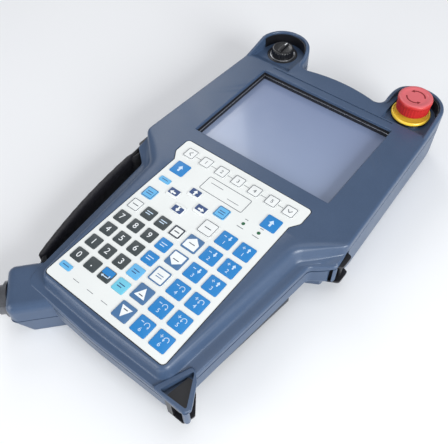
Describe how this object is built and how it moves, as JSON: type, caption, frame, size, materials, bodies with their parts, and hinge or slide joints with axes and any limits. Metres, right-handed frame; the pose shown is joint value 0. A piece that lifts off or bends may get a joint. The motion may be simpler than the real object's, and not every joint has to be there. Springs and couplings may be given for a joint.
{
  "type": "teach pendant",
  "caption": "Hand-held teach pendant with display, keypad, emergency stop in a guarded ear, enabling selector, rear enabling levers, hand strap and cable socket.",
  "frame": {"origin": "centre of the overall footprint, on the plane of the rear face", "axes": "+Z out of the front face, +Y from the keypad towards the ears, +X to the right of someone who reads the display"},
  "size_m": [0.2078, 0.3714, 0.0656],
  "materials": {
    "housing": "fine-textured moulded slate blue plastic",
    "gasket": "black rubber cord",
    "screws": "zinc-plated steel",
    "screen": "touch glass over a pale grey display",
    "black_trim": "matt black plastic",
    "module": "pressed metal frame",
    "board": "green circuit board",
    "keypad_film": "fine-grained polyester film, off-white",
    "domes": "pressed steel snap domes",
    "dark_keys": "embossed keys, charcoal and light blue",
    "blue_keys": "embossed keys, bright blue",
    "navy_keys": "embossed keys, navy and white",
    "slate_keys": "embossed keys, slate blue and white",
    "white_keys": "embossed keys, white with a thin outline",
    "stop_red": "moulded red plastic",
    "stop_yellow": "moulded yellow plastic",
    "contact_block": "moulded contact block",
    "knob": "ribbed black knob",
    "lever": "dark grey moulded levers",
    "strap_pad": "black padded synthetic leather",
    "webbing": "black woven webbing",
    "shell_metal": "nickel-plated shell",
    "contacts": "gold-plated pins"
  },
  "bodies": {
    "root": {"front_case": "housing", "rear_case": "housing", "case_seal": "gasket", "case_screws": "screws", "display_glass": "screen", "window_liner": "black_trim", "display_module": "module", "main_board": "board", "keypad_sheet": "keypad_film", "keypad_board": "board", "snap_domes": "domes", "keypad_number_keys": "dark_keys", "estop_collar": "stop_yellow", "estop_contacts": "contact_block", "panel_nuts": "screws", "selector_body": "screws", "lever_pins": "screws", "lever_switches": "black_trim", "strap_pad": "strap_pad", "strap_webbing": "webbing", "strap_anchors": "black_trim", "cable_socket": "shell_metal", "socket_insert": "black_trim", "socket_contacts": "contacts"},
    "estop_stem": {"estop_stem": "black_trim"},
    "estop_head": {"estop_head": "stop_red"},
    "selector_knob": {"selector_knob": "knob"},
    "lever_left": {"lever_left": "lever"},
    "lever_right": {"lever_right": "lever"},
    "shift_left": {"key_shift_left": "blue_keys"},
    "shift_right": {"key_shift_right": "blue_keys"},
    "function_1": {"key_function_1": "white_keys"},
    "function_2": {"key_function_2": "white_keys"},
    "function_3": {"key_function_3": "white_keys"},
    "function_4": {"key_function_4": "white_keys"},
    "function_5": {"key_function_5": "white_keys"},
    "function_6": {"key_function_6": "white_keys"},
    "function_7": {"key_function_7": "white_keys"},
    "cursor_up": {"key_cursor_up": "navy_keys"},
    "cursor_right": {"key_cursor_right": "navy_keys"},
    "cursor_down": {"key_cursor_down": "navy_keys"},
    "cursor_left": {"key_cursor_left": "navy_keys"},
    "side_1": {"key_side_1": "white_keys"},
    "side_2": {"key_side_2": "slate_keys"},
    "side_3": {"key_side_3": "slate_keys"},
    "side_4": {"key_side_4": "white_keys"},
    "side_5": {"key_side_5": "slate_keys"},
    "side_6": {"key_side_6": "slate_keys"},
    "jog_1_minus": {"key_jog_1_minus": "blue_keys"},
    "jog_1_plus": {"key_jog_1_plus": "blue_keys"},
    "jog_2_minus": {"key_jog_2_minus": "blue_keys"},
    "jog_2_plus": {"key_jog_2_plus": "blue_keys"},
    "jog_3_minus": {"key_jog_3_minus": "blue_keys"},
    "jog_3_plus": {"key_jog_3_plus": "blue_keys"},
    "jog_4_minus": {"key_jog_4_minus": "blue_keys"},
    "jog_4_plus": {"key_jog_4_plus": "blue_keys"},
    "jog_5_minus": {"key_jog_5_minus": "blue_keys"},
    "jog_5_plus": {"key_jog_5_plus": "blue_keys"},
    "jog_6_minus": {"key_jog_6_minus": "blue_keys"},
    "jog_6_plus": {"key_jog_6_plus": "blue_keys"}
  },
  "joints": [
    {"name": "estop_push", "type": "slide", "parent": "root", "child": "estop_stem", "axis": [0, 0, -1], "range_m": [0, 0.004]},
    {"name": "estop_twist", "type": "hinge", "parent": "estop_stem", "child": "estop_head", "pos_m": [0.069, 0.1587, 0.058], "axis": [0, 0, -1], "range_deg": [0, 40], "stiffness_Nm_per_rad": 0.02},
    {"name": "selector_turn", "type": "hinge", "parent": "root", "child": "selector_knob", "pos_m": [-0.0705, 0.1627, 0.048], "axis": [0, 0, -1], "range_deg": [0, 90]},
    {"name": "lever_right_press", "type": "hinge", "parent": "root", "child": "lever_right", "pos_m": [0.0585, -0.0803, 0.0076], "axis": [-0.1219, -0.9925, 0], "range_deg": [0, 9], "stiffness_Nm_per_rad": 0.6},
    {"name": "lever_left_press", "type": "hinge", "parent": "root", "child": "lever_left", "pos_m": [-0.0585, -0.0803, 0.0076], "axis": [-0.1219, 0.9925, 0], "range_deg": [0, 9], "stiffness_Nm_per_rad": 0.6},
    {"name": "shift_left_press", "type": "slide", "parent": "root", "child": "shift_left", "axis": [0, 0, -1], "range_m": [0, 0.0005], "stiffness_N_per_m": 1500},
    {"name": "shift_right_press", "type": "slide", "parent": "root", "child": "shift_right", "axis": [0, 0, -1], "range_m": [0, 0.0005], "stiffness_N_per_m": 1500},
    {"name": "function_1_press", "type": "slide", "parent": "root", "child": "function_1", "axis": [0, 0, -1], "range_m": [0, 0.0005], "stiffness_N_per_m": 1500},
    {"name": "function_2_press", "type": "slide", "parent": "root", "child": "function_2", "axis": [0, 0, -1], "range_m": [0, 0.0005], "stiffness_N_per_m": 1500},
    {"name": "function_3_press", "type": "slide", "parent": "root", "child": "function_3", "axis": [0, 0, -1], "range_m": [0, 0.0005], "stiffness_N_per_m": 1500},
    {"name": "function_4_press", "type": "slide", "parent": "root", "child": "function_4", "axis": [0, 0, -1], "range_m": [0, 0.0005], "stiffness_N_per_m": 1500},
    {"name": "function_5_press", "type": "slide", "parent": "root", "child": "function_5", "axis": [0, 0, -1], "range_m": [0, 0.0005], "stiffness_N_per_m": 1500},
    {"name": "function_6_press", "type": "slide", "parent": "root", "child": "function_6", "axis": [0, 0, -1], "range_m": [0, 0.0005], "stiffness_N_per_m": 1500},
    {"name": "function_7_press", "type": "slide", "parent": "root", "child": "function_7", "axis": [0, 0, -1], "range_m": [0, 0.0005], "stiffness_N_per_m": 1500},
    {"name": "cursor_up_press", "type": "slide", "parent": "root", "child": "cursor_up", "axis": [0, 0, -1], "range_m": [0, 0.0005], "stiffness_N_per_m": 1500},
    {"name": "cursor_right_press", "type": "slide", "parent": "root", "child": "cursor_right", "axis": [0, 0, -1], "range_m": [0, 0.0005], "stiffness_N_per_m": 1500},
    {"name": "cursor_down_press", "type": "slide", "parent": "root", "child": "cursor_down", "axis": [0, 0, -1], "range_m": [0, 0.0005], "stiffness_N_per_m": 1500},
    {"name": "cursor_left_press", "type": "slide", "parent": "root", "child": "cursor_left", "axis": [0, 0, -1], "range_m": [0, 0.0005], "stiffness_N_per_m": 1500},
    {"name": "side_1_press", "type": "slide", "parent": "root", "child": "side_1", "axis": [0, 0, -1], "range_m": [0, 0.0005], "stiffness_N_per_m": 1500},
    {"name": "side_2_press", "type": "slide", "parent": "root", "child": "side_2", "axis": [0, 0, -1], "range_m": [0, 0.0005], "stiffness_N_per_m": 1500},
    {"name": "side_3_press", "type": "slide", "parent": "root", "child": "side_3", "axis": [0, 0, -1], "range_m": [0, 0.0005], "stiffness_N_per_m": 1500},
    {"name": "side_4_press", "type": "slide", "parent": "root", "child": "side_4", "axis": [0, 0, -1], "range_m": [0, 0.0005], "stiffness_N_per_m": 1500},
    {"name": "side_5_press", "type": "slide", "parent": "root", "child": "side_5", "axis": [0, 0, -1], "range_m": [0, 0.0005], "stiffness_N_per_m": 1500},
    {"name": "side_6_press", "type": "slide", "parent": "root", "child": "side_6", "axis": [0, 0, -1], "range_m": [0, 0.0005], "stiffness_N_per_m": 1500},
    {"name": "jog_1_minus_press", "type": "slide", "parent": "root", "child": "jog_1_minus", "axis": [0, 0, -1], "range_m": [0, 0.0005], "stiffness_N_per_m": 1500},
    {"name": "jog_1_plus_press", "type": "slide", "parent": "root", "child": "jog_1_plus", "axis": [0, 0, -1], "range_m": [0, 0.0005], "stiffness_N_per_m": 1500},
    {"name": "jog_2_minus_press", "type": "slide", "parent": "root", "child": "jog_2_minus", "axis": [0, 0, -1], "range_m": [0, 0.0005], "stiffness_N_per_m": 1500},
    {"name": "jog_2_plus_press", "type": "slide", "parent": "root", "child": "jog_2_plus", "axis": [0, 0, -1], "range_m": [0, 0.0005], "stiffness_N_per_m": 1500},
    {"name": "jog_3_minus_press", "type": "slide", "parent": "root", "child": "jog_3_minus", "axis": [0, 0, -1], "range_m": [0, 0.0005], "stiffness_N_per_m": 1500},
    {"name": "jog_3_plus_press", "type": "slide", "parent": "root", "child": "jog_3_plus", "axis": [0, 0, -1], "range_m": [0, 0.0005], "stiffness_N_per_m": 1500},
    {"name": "jog_4_minus_press", "type": "slide", "parent": "root", "child": "jog_4_minus", "axis": [0, 0, -1], "range_m": [0, 0.0005], "stiffness_N_per_m": 1500},
    {"name": "jog_4_plus_press", "type": "slide", "parent": "root", "child": "jog_4_plus", "axis": [0, 0, -1], "range_m": [0, 0.0005], "stiffness_N_per_m": 1500},
    {"name": "jog_5_minus_press", "type": "slide", "parent": "root", "child": "jog_5_minus", "axis": [0, 0, -1], "range_m": [0, 0.0005], "stiffness_N_per_m": 1500},
    {"name": "jog_5_plus_press", "type": "slide", "parent": "root", "child": "jog_5_plus", "axis": [0, 0, -1], "range_m": [0, 0.0005], "stiffness_N_per_m": 1500},
    {"name": "jog_6_minus_press", "type": "slide", "parent": "root", "child": "jog_6_minus", "axis": [0, 0, -1], "range_m": [0, 0.0005], "stiffness_N_per_m": 1500},
    {"name": "jog_6_plus_press", "type": "slide", "parent": "root", "child": "jog_6_plus", "axis": [0, 0, -1], "range_m": [0, 0.0005], "stiffness_N_per_m": 1500}
  ]
}
